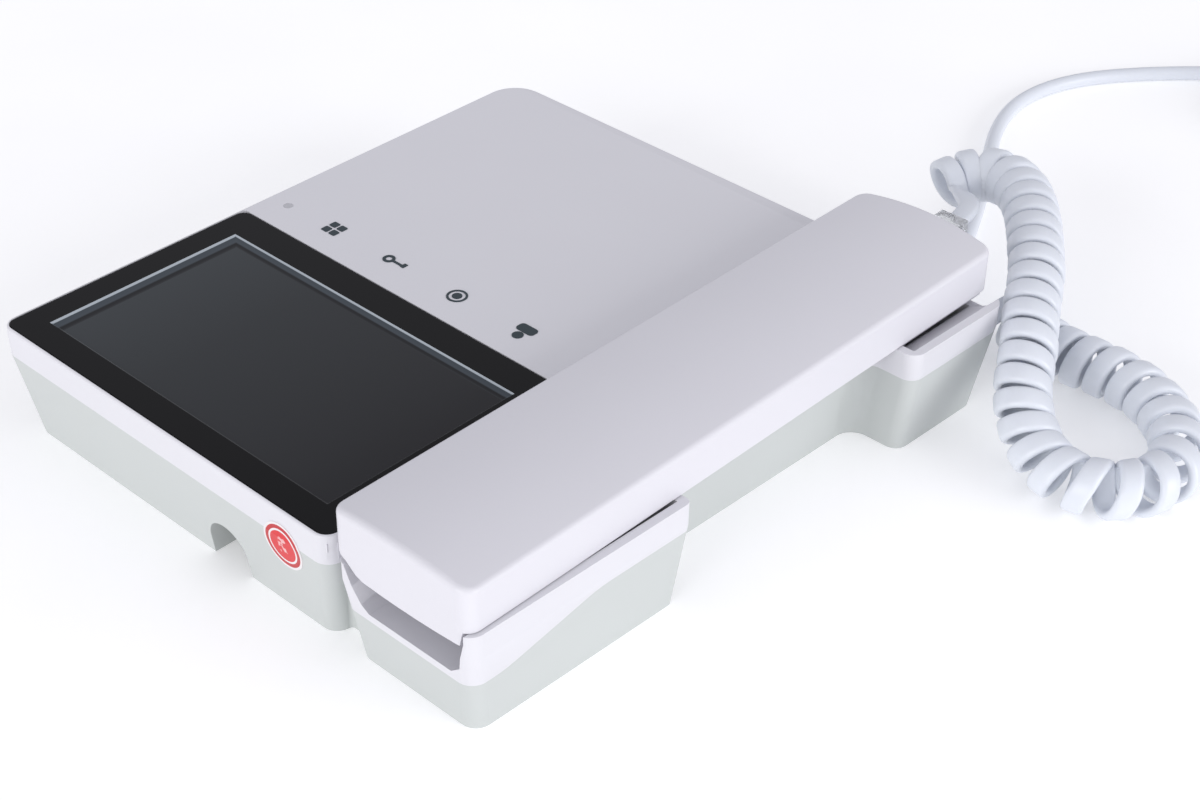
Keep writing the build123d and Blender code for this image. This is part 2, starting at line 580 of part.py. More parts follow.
def strain_relief():
    """A tapered, ribbed boot with a collar inside the wall."""
    x, z = POWER_EXIT
    wall = CRADLE_BOTTOM + 4.0
    end = POWER_ROUTE[0][1]
    upright = Plane(origin=(x, wall, z), z_dir=(0, -1, 0))
    boot = upright * Pos(0, 0, (wall - end) / 2) * Cone(4.2, 2.9, wall - end)
    collar = upright * Pos(0, 0, -4.1) * Cylinder(4.9, 2.0)
    neck = upright * Pos(0, 0, -1.6) * Cylinder(4.2, 3.4)
    ribs = union([
        upright * Pos(0, 0, depth) * (Cylinder(6, 1.0) - Cylinder(3.6 - 0.055 * depth, 1.0))
        for depth in (7.0, 10.0, 13.0, 16.0, 19.0)
    ])
    return boot + collar + neck - ribs


def power_cord_coil():
    x, y = RING_MIDDLE
    z = (TIE_THICK, TIE_THICK + RING_HEIGHT)
    ring = rod(x, y, z, RING_RADIUS + RING_WIDTH / 2) - rod(x, y, (-1, 30), RING_RADIUS - RING_WIDTH / 2)
    return fillet(ring.edges(), 1.8)


def cord_tie():
    """A thin band round the bundle of the put-away cord."""
    inner = (RING_WIDTH + 0.4, 5.0, RING_HEIGHT)
    outer = (inner[0] + 2 * TIE_THICK, 5.0, inner[2] + 2 * TIE_THICK)
    band = Box(*outer) - Box(inner[0], 6.0, inner[2])
    place = Rot(0, 0, 130) * Pos(RING_RADIUS, 0, TIE_THICK + RING_HEIGHT / 2)
    return Pos(*RING_MIDDLE, 0) * place * fillet(band.edges().filter_by(Axis.Y).group_by(
        SortBy.DISTANCE)[-1], 0.5)


def plug_place():
    """Where the mains plug lies: +X runs from its cable end to its pins."""
    into = Vector(*TAIL_ROUTE[-1]) - Vector(*TAIL_ROUTE[-2])
    flat = Vector(into.X, into.Y, 0).normalized()
    return Plane(origin=TAIL_ROUTE[-1], x_dir=flat, z_dir=(0, 0, 1))


def power_plug():
    outline = [(0, -4.5), (0, 4.5), (12, 8.0), (22, 17.6), (31, 17.6), (31, -17.6), (22, -17.6), (12, -8.0)]
    body = extrude(make_face(Polyline(*outline, close=True)), amount=MAINS_PLUG_THICK / 2, both=True)
    body = fillet(body.edges().filter_by(Axis.Z), 2.0)
    return plug_place() * body


def power_plug_pins():
    pins = [Pos(31 + 9.5, side * 9.3, 0) * Rot(0, 90, 0) * Cylinder(2.0, 19.0) for side in (-1, 1)]
    pins = [fillet(pin.edges().sort_by(Axis.X)[-1], 1.2) for pin in pins]
    return [plug_place() * pin for pin in pins]


# ---- Writing the parts ------------------------------------------------------------------------
def build():
    block, below, hollow = casing_block(), below_seam(), rooms()
    jack_front = CRADLE_BOTTOM + 5.1 * (1 - BASE_JACK[1] / SEAM) + 0.4
    handset_end = HANDSET_LENGTH / 2
    return {
        "front_cover": front_cover(block, below, hollow),
        "rear_cover": rear_cover(block, below, hollow),
        "screen_glass": slab(glass_plan(0, BODY_HEIGHT - GLASS_THICK), GLASS_THICK - 0.05),
        "lcd_panel": window(0, (23.3, 26.9)),
        "lcd_frame": lcd_frame(),
        "key_prints": key_prints(),
        "touch_key_board": box((-18, 67), (0, 12.8), (25.5, 26.7)),
        "indicator_light": rod(73.5, 7.0, (26.0, 29.0), 1.2) + rod(73.5, 7.0, (25.0, 26.7), 2.0),
        "main_board": main_board(),
        "board_chips": board_chips(),
        "door_connectors": door_connectors(),
        "power_board": power_board(),
        "power_transformer": power_transformer(),
        "power_capacitors": power_capacitors(),
        "chime_speaker": chime_speaker(),
        "case_screws": case_screws(),
        "board_screws": board_screws(),
        "seal_sticker": seal_sticker(block),
        "hook_plunger": hook_plunger(),
        "hook_spring": hook_spring(),
        "hook_switch": hook_switch(),
        "base_jack": modular_jack(BASE_JACK[0], jack_front, BASE_JACK[1], 14.0),
        "handset_upper_shell": handset_upper_shell(),
        "handset_lower_shell": handset_lower_shell(),
        "earpiece_cap": sound_cap(54.0, 22, 34, 7, CAP_UNDER, [(3.0, 6), (6.5, 12)]),
        "earpiece_speaker": earpiece_speaker(),
        "mouthpiece_cap": sound_cap(-67.0, 20, 18, 6, CAP_UNDER + 0.5, [(2.5, 5)]),
        "mouthpiece_microphone": rod(HANDSET_MIDDLE - 2.0, -67.0, (29.8, 33.8), 4.85),
        "handset_jack": modular_jack(HANDSET_JACK[0], 2.3 - handset_end, HANDSET_JACK[1], 12.0),
        "handset_weight": box((HANDSET_MIDDLE - 10, HANDSET_MIDDLE + 10), (-32, 20), (29.8, 33.8)),
        "handset_screws": handset_screws(),
        "handset_plug": modular_plug(HANDSET_JACK[0], HANDSET_LEAD_ROUTE[0][1] + 0.15, HANDSET_JACK[1]),
        "base_plug": modular_plug(BASE_JACK[0], BASE_LEAD_ROUTE[0][1], BASE_JACK[1]),
        "curly_cord": tube(CURLY_ROUTE, COIL_RADIUS, "curly cord"),
        "handset_cord_lead": tube(HANDSET_LEAD_ROUTE, LEAD_RADIUS, "handset lead"),
        "base_cord_lead": tube(BASE_LEAD_ROUTE, LEAD_RADIUS, "base lead"),
        "strain_relief": strain_relief(),
        "power_cord": tube(POWER_ROUTE, POWER_RADIUS, "power cord"),
        "power_cord_coil": power_cord_coil(),
        "power_cord_tail": tube(TAIL_ROUTE, POWER_RADIUS, "power cord tail"),
        "cord_tie": cord_tie(),
        "power_plug": power_plug(),
        "power_plug_pins": power_plug_pins(),
    }


os.makedirs("parts", exist_ok=True)
for name, shape in build().items():
    solids = shape if isinstance(shape, list) else shape.solids()
    bodies = [solid for piece in solids for solid in piece.solids()]
    export_step(Compound(children=bodies), f"parts/{name}.step")
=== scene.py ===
import math

import bmesh
import bpy
from mathutils import Matrix, Vector


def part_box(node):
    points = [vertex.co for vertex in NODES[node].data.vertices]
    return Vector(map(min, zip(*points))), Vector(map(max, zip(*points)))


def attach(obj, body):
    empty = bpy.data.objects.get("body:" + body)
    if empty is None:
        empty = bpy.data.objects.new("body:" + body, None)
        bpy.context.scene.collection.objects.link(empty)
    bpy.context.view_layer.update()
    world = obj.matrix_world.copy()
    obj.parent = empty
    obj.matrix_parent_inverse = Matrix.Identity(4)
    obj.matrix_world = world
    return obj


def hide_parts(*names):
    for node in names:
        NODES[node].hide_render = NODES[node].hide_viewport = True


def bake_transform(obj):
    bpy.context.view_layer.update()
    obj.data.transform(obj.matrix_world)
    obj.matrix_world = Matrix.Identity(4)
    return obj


# A wall intercom monitor with a corded handset, lying on its back.  Metres; +Z out of the wall.
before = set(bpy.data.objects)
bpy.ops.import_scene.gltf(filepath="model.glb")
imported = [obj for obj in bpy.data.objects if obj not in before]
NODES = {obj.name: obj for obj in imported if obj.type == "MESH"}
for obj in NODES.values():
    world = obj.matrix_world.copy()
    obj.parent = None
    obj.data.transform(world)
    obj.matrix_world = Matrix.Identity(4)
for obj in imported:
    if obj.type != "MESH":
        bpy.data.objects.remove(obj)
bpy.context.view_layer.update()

MM = 0.001
UP = Vector((0, 0, 1))

# ---- Sizes -----------------------------------------------------------------------------------
CAMERA_PLACE = Vector((-0.3008, 0.2973, 0.3067))
CAMERA_AZIMUTH, CAMERA_ELEVATION, CAMERA_ROLL = 222.60, 35.77, 0.84
CAMERA_LENS, SENSOR_WIDTH = 64.62, 36.0

COIL_RADIUS = 7.25 * MM  # outside of the curly cord
RIBBON_WIDTH = 5.4 * MM  # the curly cord's flat strand
RIBBON_THICK = 2.3 * MM
LOOSENESS, LOOSE_BEAT = 0.35 * MM, 0.37  # how far some turns sit inside that radius, and how often
# Directions from the coil's middle line to the strand's two ends.
FIRST_SIDE, LAST_SIDE = Vector((-1, 0, 0)), Vector((0.27, 0.96, 0))
POWER_RADIUS = 2.1 * MM

# Middle line of the curly cord's coil, from the handset's end to the base's end.
CURLY_ROUTE = [
    (-0.0365, -0.1205, 0.0260), (-0.0388, -0.1290, 0.0272), (-0.0458, -0.1326, 0.0282),
    (-0.0548, -0.1299, 0.0286), (-0.0650, -0.1190, 0.0285), (-0.0756, -0.1052, 0.0268),
    (-0.0835, -0.0919, 0.0238), (-0.0907, -0.0799, 0.0198), (-0.0969, -0.0695, 0.0143),
    (-0.1048, -0.0630, 0.0090), (-0.1147, -0.0600, 0.0073), (-0.1246, -0.0612, 0.0073),
    (-0.1318, -0.0690, 0.0073), (-0.1328, -0.0812, 0.0073), (-0.1253, -0.0941, 0.0073),
    (-0.1133, -0.1015, 0.0073), (-0.1000, -0.1033, 0.0073), (-0.0840, -0.1022, 0.0073),
    (-0.0690, -0.1055, 0.0073),
]
HANDSET_LEAD_ROUTE = [
    (-0.0555, -0.0975, 0.0332), (-0.0550, -0.1055, 0.0333), (-0.0485, -0.1125, 0.0310),
]
BASE_LEAD_ROUTE = [(-0.0655, -0.1010, 0.0076), (-0.0605, -0.0995, 0.0080), (-0.0605, -0.0905, 0.0090)]
# How far along the coil, as a share of its length, and the distance between turns there.
CURLY_PITCH = [(0.0, 6.0 * MM), (0.10, 6.6 * MM), (0.46, 6.0 * MM), (0.56, 7.6 * MM), (0.72, 8.4 * MM),
               (0.84, 7.2 * MM), (0.94, 6.2 * MM), (1.0, 5.6 * MM)]

POWER_ROUTE = [
    (-0.0435, -0.1037, 0.0090), (-0.0430, -0.1155, 0.0066), (-0.0385, -0.1300, 0.0022),
    (-0.0275, -0.1541, 0.00215), (-0.0145, -0.1771, 0.00215), (-0.0035, -0.1981, 0.00215),
    (0.0005, -0.2181, 0.00215), (-0.0045, -0.2381, 0.00215), (-0.0185, -0.2575, 0.00215),
    (-0.0370, -0.2755, 0.00220),
]
TAIL_ROUTE = [(-0.0820, -0.3085, 0.0032), (-0.0970, -0.3115, 0.00685)]
RING_CENTRE = Vector((-0.0782, -0.2760, 0.0))
RING_RADII = [29.8 * MM, 25.6 * MM, 21.4 * MM, 17.2 * MM]
RING_LEVELS = [2.75 * MM, 6.95 * MM]
RING_START = math.radians(-40)  # where on the ring the cord arrives
SHIFT_FROM = 0.7  # the share of a turn after which the cord moves over to the next one

# The curly cord between these shares of its length passes from the handset to the floor.
LIFT_FROM, LIFT_TO = 0.10, 0.52

CONTACTS, CONTACT_PITCH, CONTACT_THICK = 4, 1.02 * MM, 0.3 * MM
CONTACT_BACK, CONTACT_FRONT = 3.6 * MM, 0.4 * MM  # how far its ends are from the plug's nose
CONTACT_LOW, CONTACT_HIGH, CONTACT_TAPER = 0.15 * MM, 1.3 * MM, 0.04 * MM

WINDOW_CENTRE, WINDOW_SIZE = (0.0239, 0.0522), (0.0970, 0.0546)
WINDOW_CORNER, WINDOW_BEVEL, WINDOW_DROP = 0.4 * MM, 0.5 * MM, 0.3 * MM
GLASS_EDGE = 0.35 * MM
GLASS_CORNERS = (2.6 * MM, 2.5 * MM, 2.3 * MM)  # at the side, on the round edge and on top
EDGE_BAND = 4.6 * MM  # how far the painted lit edge, lit wall and shadow reach into the display from the window's right edge
LOWER_EDGE_NARROWER = 1.35  # by this much, the painted band along the lower edge reaches less far
STICKER_CENTRE = (-0.0189, 0.0877, 0.0193)
SEAL_RADIUS = 6.0 * MM
BLOT_WIDTH, BLOT_HEIGHT = 1.7 * MM, 3.0 * MM  # half of each
FLOOR_HALF = 4  # half its side, in metres


# ---- Camera ----------------------------------------------------------------------------------
def make_camera():
    data = bpy.data.cameras.new("camera")
    data.sensor_width, data.lens = SENSOR_WIDTH, CAMERA_LENS
    data.clip_start, data.clip_end = 0.01, 20
    camera = bpy.data.objects.new("camera", data)
    bpy.context.scene.collection.objects.link(camera)
    azimuth, elevation, roll = map(math.radians, (CAMERA_AZIMUTH, CAMERA_ELEVATION, CAMERA_ROLL))
    back = Vector((math.sin(azimuth) * math.cos(elevation), -math.cos(azimuth) * math.cos(elevation),
                   math.sin(elevation)))
    level = Vector((math.cos(azimuth), math.sin(azimuth), 0))
    upright = back.cross(level)
    right = math.cos(roll) * level + math.sin(roll) * upright
    top = math.cos(roll) * upright - math.sin(roll) * level
    turn = Matrix((right, top, back)).transposed().to_4x4()
    camera.matrix_world = Matrix.Translation(CAMERA_PLACE) @ turn
    bpy.context.scene.camera = camera


# ---- Lines and tubes -------------------------------------------------------------------------
def spline_curve(name, points):
    """A curve object of one smooth NURBS spline with those control points."""
    data = bpy.data.curves.new(name, "CURVE")
    data.dimensions = "3D"
    spline = data.splines.new("NURBS")
    spline.points.add(len(points) - 1)
    for place, point in zip(spline.points, points):
        place.co = (*point, 1)
    spline.order_u = 3
    spline.use_endpoint_u = True
    spline.resolution_u = 6
    return bpy.data.objects.new(name, data)


def line_of(points):
    """Points along the smooth spline with those control points."""
    curve = spline_curve("route", points)
    mesh = bpy.data.meshes.new_from_object(curve)
    line = [vertex.co.copy() for vertex in mesh.vertices]
    bpy.data.meshes.remove(mesh)
    bpy.data.objects.remove(curve)
    return line


def lengths_along(line):
    """The length of the line up to each of its points."""
    total, along = 0.0, [0.0]
    for start, end in zip(line, line[1:]):
        total += (end - start).length
        along.append(total)
    return along


def locate(marks, want, at):
    """The stretch of rising marks that holds a value, looked for from stretch at, and the share along it."""
    while at < len(marks) - 2 and marks[at + 1] < want:
        at += 1
    return at, min(1.0, (want - marks[at]) / max(marks[at + 1] - marks[at], 1e-12))


def evenly(line, count):
    """The line divided into equal steps."""
    along = lengths_along(line)
    points, at = [], 0
    for index in range(count):
        at, share = locate(along, along[-1] * index / (count - 1), at)
        points.append(line[at].lerp(line[at + 1], share))
    return points


def tangents(line):
    """The line's direction at each of its points."""
    ends = [line[0]] + list(line) + [line[-1]]
    return [(after - before).normalized() for before, after in zip(ends, ends[2:])]


def carried_sides(line, first):
    """A sideways direction carried along the line without twisting."""
    sides, side = [], first
    for along in tangents(line):
        side = (side - side.dot(along) * along).normalized()
        sides.append(side)
    return sides


def new_piece(name, mesh):
    piece = bpy.data.objects.new(name, mesh)
    bpy.context.scene.collection.objects.link(piece)
    return piece


def ribbon(name, line, outward, wide, thick):
    """A flat strand with round edges: its broad face looks along the outward directions."""
    corners, edge_steps = [], 5
    flat, radius = (wide - thick) / 2, thick / 2
    for side, start in ((1, -90), (-1, 90)):
        for step in range(edge_steps + 1):
            turn = math.radians(start + 180 * step / edge_steps)
            corners.append((flat * side + radius * math.cos(turn), radius * math.sin(turn)))
    mesh = bpy.data.meshes.new(name)
    shape = bmesh.new()
    rings = []
    for place, along, face in zip(line, tangents(line), outward):
        normal = (face - face.dot(along) * along).normalized()
        across = along.cross(normal)
        rings.append([shape.verts.new(place + across * a + normal * b) for a, b in corners])
    for one, two in zip(rings, rings[1:]):
        for i in range(len(corners)):
            j = (i + 1) % len(corners)
            shape.faces.new((one[i], one[j], two[j], two[i]))
    shape.faces.new(list(reversed(rings[0])))
    shape.faces.new(rings[-1])
    bmesh.ops.recalc_face_normals(shape, faces=shape.faces)
    shape.to_mesh(mesh)
    shape.free()
    mesh.shade_smooth()
    return new_piece(name, mesh)


# ---- Cords -----------------------------------------------------------------------------------
def pitch_at(share):
    """The distance between turns at a share of the coil's length."""
    for (low, first), (high, last) in zip(CURLY_PITCH, CURLY_PITCH[1:]):
        if share <= high:
            return first + (last - first) * (share - low) / (high - low)
    return CURLY_PITCH[-1][1]


def turn_angles(axis, sides):
    """How far the strand has turned about the coil's middle line at each of its points."""
    step = lengths_along(axis)[-1] / (len(axis) - 1)
    turned = [0.0]
    for index in range(1, len(axis)):
        turned.append(turned[-1] + 2 * math.pi * step / pitch_at(index / (len(axis) - 1)))
    # The whole is rounded so that the last turn ends beside the base's lead.
    across = sides[-1].cross(tangents(axis)[-1])
    last = math.atan2(LAST_SIDE.dot(across), LAST_SIDE.dot(sides[-1]))
    whole = round((turned[-1] - last) / (2 * math.pi)) * 2 * math.pi + last
    return [turn * whole / turned[-1] for turn in turned]


def coil_turns(middle_steps=600, points_a_turn=18):
    """The coil's points and its outward directions, without the straight leads."""
    axis = evenly(line_of(CURLY_ROUTE), middle_steps)
    along = tangents(axis)
    sides = carried_sides(axis, FIRST_SIDE)
    turned = turn_angles(axis, sides)
    reach = COIL_RADIUS - RIBBON_THICK / 2
    count = int(turned[-1] / (2 * math.pi) * points_a_turn)
    helix, outward, at = [], [], 0
    for index in range(1, count):
        angle = turned[-1] * index / count
        at, share = locate(turned, angle, at)
        normal = math.cos(angle) * sides[at] + math.sin(angle) * sides[at].cross(along[at])
        loose = abs(LOOSENESS * math.sin(LOOSE_BEAT * angle)) * min(1, 3 * index / count)
        helix.append(axis[at].lerp(axis[at + 1], share) + (reach - loose) * normal)
        outward.append(normal)
    return helix, outward


def curly_strand(neighbours=14, smoothing=30):
    """The strand's line and its outward directions, from the handset's plug to the base's plug."""
    helix, outward = coil_turns()
    controls = [Vector(p) for p in HANDSET_LEAD_ROUTE] + helix + [Vector(p) for p in BASE_LEAD_ROUTE]
    line = evenly(line_of(controls), len(helix) * 2)
    faces = []
    for index, place in enumerate(line):
        # A point faces as the coil's point nearest to it does, and on the leads it faces up.
        share = index / (len(line) - 1)
        near = min(len(controls) - 1, int(share * len(controls)))
        window = range(max(0, near - neighbours), min(len(controls), near + neighbours + 1))
        nearest = min(window, key=lambda i: (controls[i] - place).length_squared)
        inside = nearest - len(HANDSET_LEAD_ROUTE)
        faces.append(outward[inside] if 0 <= inside < len(outward) else UP)
    for _ in range(smoothing):
        padded = [faces[0]] + faces + [faces[-1]]
        faces = [(a + 2 * b + c).normalized() for a, b, c in zip(padded, padded[1:], padded[2:])]
    return line, faces


def ring_points():
    """The turns of the put-away power cord: inwards along the floor, then outwards on top."""
    lay = [(RING_LEVELS[0], radius) for radius in RING_RADII]
    lay += [(RING_LEVELS[1], radius) for radius in reversed(RING_RADII)]
    points, steps = [], 14  # points a turn
    for index in range(steps * len(lay) + 1):
        turn = min(index // steps, len(lay) - 1)
        share = index / steps - turn
        later = lay[min(turn + 1, len(lay) - 1)]
        ease = min(1, max(0, (share - SHIFT_FROM) / (1 - SHIFT_FROM)))
        level, radius = [now + (then - now) * ease for now, then in zip(lay[turn], later)]
        angle = RING_START - 2 * math.pi * index / steps
        points.append(RING_CENTRE + Vector((radius * math.cos(angle), radius * math.sin(angle), level)))
    return points


def lift_with_handset(line, corners):
    """Weights that fall from 1 at the handset's end of the cord to 0 at its loop on the floor; nothing keeps
    or uses them.
    """
    along = lengths_along(line)
    weights = []
    for length in along:
        past = (length / along[-1] - LIFT_FROM) / (LIFT_TO - LIFT_FROM)
        past = min(1, max(0, past))
        weights += [1 - past * past * (3 - 2 * past)] * corners


def make_curly_cord():
    line, faces = curly_strand()
    cord = ribbon("curly_handset_cord", line, faces, RIBBON_WIDTH, RIBBON_THICK)
    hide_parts("curly_cord", "handset_cord_lead", "base_cord_lead")
    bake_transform(cord)
    lift_with_handset(line, len(cord.data.vertices) // len(line))
    length = round(lengths_along(line)[-1], 2)
    return cord


def make_power_cord():
    route = [*POWER_ROUTE, *ring_points(), *TAIL_ROUTE]
    line = line_of(route)
    curve = spline_curve("power_route", route)
    curve.data.bevel_depth = POWER_RADIUS
    curve.data.bevel_resolution = 4
    curve.data.use_fill_caps = True
    mesh = bpy.data.meshes.new_from_object(curve)
    bpy.data.objects.remove(curve)
    mesh.shade_smooth()
    cord = new_piece("power_lead", mesh)
    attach(cord, "root")
    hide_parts("power_cord", "power_cord_coil", "power_cord_tail")
    round(lengths_along(line)[-1], 2)
    return cord


# ---- The display's glass -----------------------------------------------------------------------
def rounded_outline(low, high, radius, level, steps=6):
    """Points round a rectangle with rounded corners, anticlockwise from its lower right corner."""
    points = []
    for corner, start in (((high[0], low[1]), -90), ((high[0], high[1]), 0),
                          ((low[0], high[1]), 90), ((low[0], low[1]), 180)):
        centre = [corner[i] + (radius if corner[i] == low[i] else -radius) for i in (0, 1)]
        for step in range(steps + 1):
            turn = math.radians(start + 90 * step / steps)
            points.append((centre[0] + radius * math.cos(turn), centre[1] + radius * math.sin(turn), level))
    return points


def make_display_glass():
    """The glass over the display: a flat border, and a window whose bevelled edge drops to the pane."""
    low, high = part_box("screen_glass")
    top, edge = high[2], GLASS_EDGE
    window_low = [WINDOW_CENTRE[i] - WINDOW_SIZE[i] / 2 for i in (0, 1)]
    window_high = [WINDOW_CENTRE[i] + WINDOW_SIZE[i] / 2 for i in (0, 1)]

    def outline(inset, radius, level):
        return rounded_outline([v + inset for v in low[:2]], [v - inset for v in high[:2]], radius, level)

    def opening(inset, level):
        return rounded_outline([v + inset for v in window_low], [v - inset for v in window_high],
                               WINDOW_CORNER, level)

    shape = bmesh.new()
    at_side, on_edge, on_top = GLASS_CORNERS
    rings = [outline(0, at_side, low[2]), outline(0, at_side, top - edge),
             outline(0.3 * edge, on_edge, top - 0.3 * edge), outline(edge, on_top, top)]
    loops = [[shape.verts.new(p) for p in ring] for ring in rings]
    inner = [[shape.verts.new(p) for p in ring]
             for ring in (opening(0, top), opening(WINDOW_BEVEL, top - WINDOW_DROP))]
    for one, two in [*zip(loops, loops[1:]), (inner[0], inner[1])]:
        for i in range(len(one)):
            j = (i + 1) % len(one)
            shape.faces.new((one[i], one[j], two[j], two[i]))
    shape.faces.new(loops[0])
    shape.faces.new(inner[1])
    rims = [shape.edges.get((loop[i - 1], loop[i])) or shape.edges.new((loop[i - 1], loop[i]))
            for loop in (loops[-1], inner[0]) for i in range(len(loop))]
    bmesh.ops.triangle_fill(shape, edges=rims, use_beauty=True)
    bmesh.ops.recalc_face_normals(shape, faces=shape.faces)
    mesh = bpy.data.meshes.new("display_glass")
    shape.to_mesh(mesh)
    shape.free()
    glass = new_piece("display_glass", mesh)
    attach(glass, "root")
    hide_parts("screen_glass")
    return glass


# ---- Small pieces ------------------------------------------------------------------------------
def block(shape, low, high, taper):
    """A box in a bmesh whose top end may be narrower."""
    corners = []
    for z, inset in ((low[2], 0.0), (high[2], taper)):
        corners += [shape.verts.new((x, y, z)) for x, y in (
            (low[0] + inset, low[1] + inset), (high[0] - inset, low[1] + inset),
            (high[0] - inset, high[1] - inset), (low[0] + inset, high[1] - inset))]
    for face in ((3, 2, 1, 0), (4, 5, 6, 7), (0, 1, 5, 4), (1, 2, 6, 5), (2, 3, 7, 6), (3, 0, 4, 7)):
        shape.faces.new([corners[i] for i in face])


def make_contacts(name, plug, body):
    """The gilt blades in the slots of a clear plug."""
    low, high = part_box(plug)
    middle = (low[0] + high[0]) / 2
    shape = bmesh.new()
    for index in range(CONTACTS):
        x = middle + (index - (CONTACTS - 1) / 2) * CONTACT_PITCH
        block(shape, (x - CONTACT_THICK / 2, high[1] - CONTACT_BACK, low[2] + CONTACT_LOW),
              (x + CONTACT_THICK / 2, high[1] - CONTACT_FRONT, low[2] + CONTACT_HIGH), CONTACT_TAPER)
    mesh = bpy.data.meshes.new(name)
    shape.to_mesh(mesh)
    shape.free()
    contacts = new_piece(name, mesh)
    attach(contacts, body)
    return contacts


# ---- Materials -------------------------------------------------------------------------------
def material(name, rough, **sockets):
    """A material of one shader. Other sockets are named as in Specular_IOR_Level=0.1."""
    made = bpy.data.materials.new(name)
    made.use_nodes = True
    shader = made.node_tree.nodes["Principled BSDF"]
    shader.inputs["Roughness"].default_value = rough
    for socket, value in sockets.items():
        shader.inputs[socket.replace("_", " ")].default_value = value
    return made


class Nodes:
    """Short ways to add nodes to a material."""

    def __init__(self, made):
        self.tree = made.node_tree
        self.shader = self.tree.nodes["Principled BSDF"]
        self.place = self.add("TexCoord").outputs["Object"]

    def add(self, kind, **settings):
        node = self.tree.nodes.new("ShaderNode" + kind)
        for name, value in settings.items():
            setattr(node, name, value)
        return node

    def link(self, start, end):
        self.tree.links.new(start, end)

    def noise(self, scale, detail=2.0, stretch=(1, 1, 1)):
        mapping = self.add("Mapping")
        mapping.inputs["Scale"].default_value = stretch
        self.link(self.place, mapping.inputs["Vector"])
        node = self.add("TexNoise")
        node.inputs["Scale"].default_value = scale
        node.inputs["Detail"].default_value = detail
        self.link(mapping.outputs["Vector"], node.inputs["Vector"])
        return node.outputs["Fac"]

    def ramp(self, value, stops, interpolation="LINEAR"):
        """Colours by value: stops are (position, colour), in order."""
        node = self.add("ValToRGB")
        ramp = node.color_ramp
        ramp.interpolation = interpolation
        while len(ramp.elements) < len(stops):
            ramp.elements.new(1.0)
        for element, (position, colour) in zip(ramp.elements, stops):
            element.position = position
            element.color = (*colour, 1) if len(colour) == 3 else colour
        self.link(value, node.inputs["Fac"])
        return node.outputs["Color"]

    def math(self, operation, one, two=None):
        node = self.add("Math", operation=operation)
        for socket, value in zip(node.inputs, (one, two)):
            if isinstance(value, (int, float)):
                socket.default_value = value
            elif value is not None:
                self.link(value, socket)
        return node.outputs[0]

    def mix(self, share, one, two):
        node = self.add("Mix", data_type="RGBA")
        self.link(share, node.inputs["Factor"])
        for socket, value in ((node.inputs["A"], one), (node.inputs["B"], two)):
            if isinstance(value, tuple):
                socket.default_value = (*value, 1)
            else:
                self.link(value, socket)
        return node.outputs["Result"]

    def colour(self, value):
        self.link(value, self.shader.inputs["Base Color"])

    def bump(self, height, strength, distance=0.1 * MM):
        node = self.add("Bump")
        node.inputs["Strength"].default_value = strength
        node.inputs["Distance"].default_value = distance
        self.link(height, node.inputs["Height"])
        self.link(node.outputs["Normal"], self.shader.inputs["Normal"])

    def roughness(self, value, low, high):
        spread = self.add("MapRange")
        spread.inputs["To Min"].default_value = low
        spread.inputs["To Max"].default_value = high
        self.link(value, spread.inputs["Value"])
        self.link(spread.outputs["Result"], self.shader.inputs["Roughness"])

    def from_point(self, point, axes):
        """Distance from a point, along the given axes only."""
        shift = self.add("VectorMath", operation="SUBTRACT")
        shift.inputs[1].default_value = point
        self.link(self.place, shift.inputs[0])
        flat = self.add("VectorMath", operation="MULTIPLY")
        flat.inputs[1].default_value = axes
        self.link(shift.outputs["Vector"], flat.inputs[0])
        length = self.add("VectorMath", operation="LENGTH")
        self.link(flat.outputs["Vector"], length.inputs[0])
        return length.outputs["Value"]

    def axis(self, name):
        split = self.add("SeparateXYZ")
        self.link(self.place, split.inputs["Vector"])
        return split.outputs[name]


def scaled(colour, factor):
    return tuple(min(1.0, channel * factor) for channel in colour)


def plastic(name, colour, rough, spread=0.012, grain=2600, bump=0.10, **sockets):
    """Moulded plastic: faint clouds of colour, a fine etched grain and uneven gloss."""
    made = material(name, rough, **sockets)
    nodes = Nodes(made)
    clouds = [(0.3, scaled(colour, 1 - spread)), (0.7, scaled(colour, 1 + spread))]
    nodes.colour(nodes.ramp(nodes.noise(16, 3), clouds))
    nodes.roughness(nodes.noise(45, 3), rough - 0.04, rough + 0.05)
    nodes.bump(nodes.noise(grain, 2), bump)
    return made


def metal(name, colour, rough, stretch=(1, 30, 30)):
    """Brushed or drawn metal: fine streaks along X."""
    made = material(name, rough, Metallic=1.0)
    nodes = Nodes(made)
    streaks = nodes.noise(160, 4, stretch)
    nodes.colour(nodes.ramp(streaks, [(0.3, scaled(colour, 0.86)), (0.7, scaled(colour, 1.08))]))
    nodes.roughness(streaks, rough - 0.08, rough + 0.10)
    nodes.bump(streaks, 0.06)
    return made


def circuit_board(name):
    """Green solder mask with raised tracks and tinned pads."""
    made = material(name, 0.35)
    nodes = Nodes(made)
    tracks = nodes.add("TexBrick")
    tracks.inputs["Scale"].default_value = 120
    tracks.inputs["Mortar Size"].default_value = 0.04
    tracks.inputs["Color1"].default_value = (0.012, 0.13, 0.045, 1)
    tracks.inputs["Color2"].default_value = (0.010, 0.10, 0.036, 1)
    tracks.inputs["Mortar"].default_value = (0.03, 0.24, 0.09, 1)
    nodes.link(nodes.place, tracks.inputs["Vector"])
    pads = nodes.add("TexVoronoi")
    pads.inputs["Scale"].default_value = 260
    pads.inputs["Randomness"].default_value = 0.35
    nodes.link(nodes.place, pads.inputs["Vector"])
    dots = nodes.ramp(pads.outputs["Distance"], [(0.13, (1, 1, 1)), (0.17, (0, 0, 0))])
    nodes.colour(nodes.mix(dots, tracks.outputs["Color"], (0.62, 0.62, 0.60)))
    nodes.bump(tracks.outputs["Fac"], 0.3)
    return made


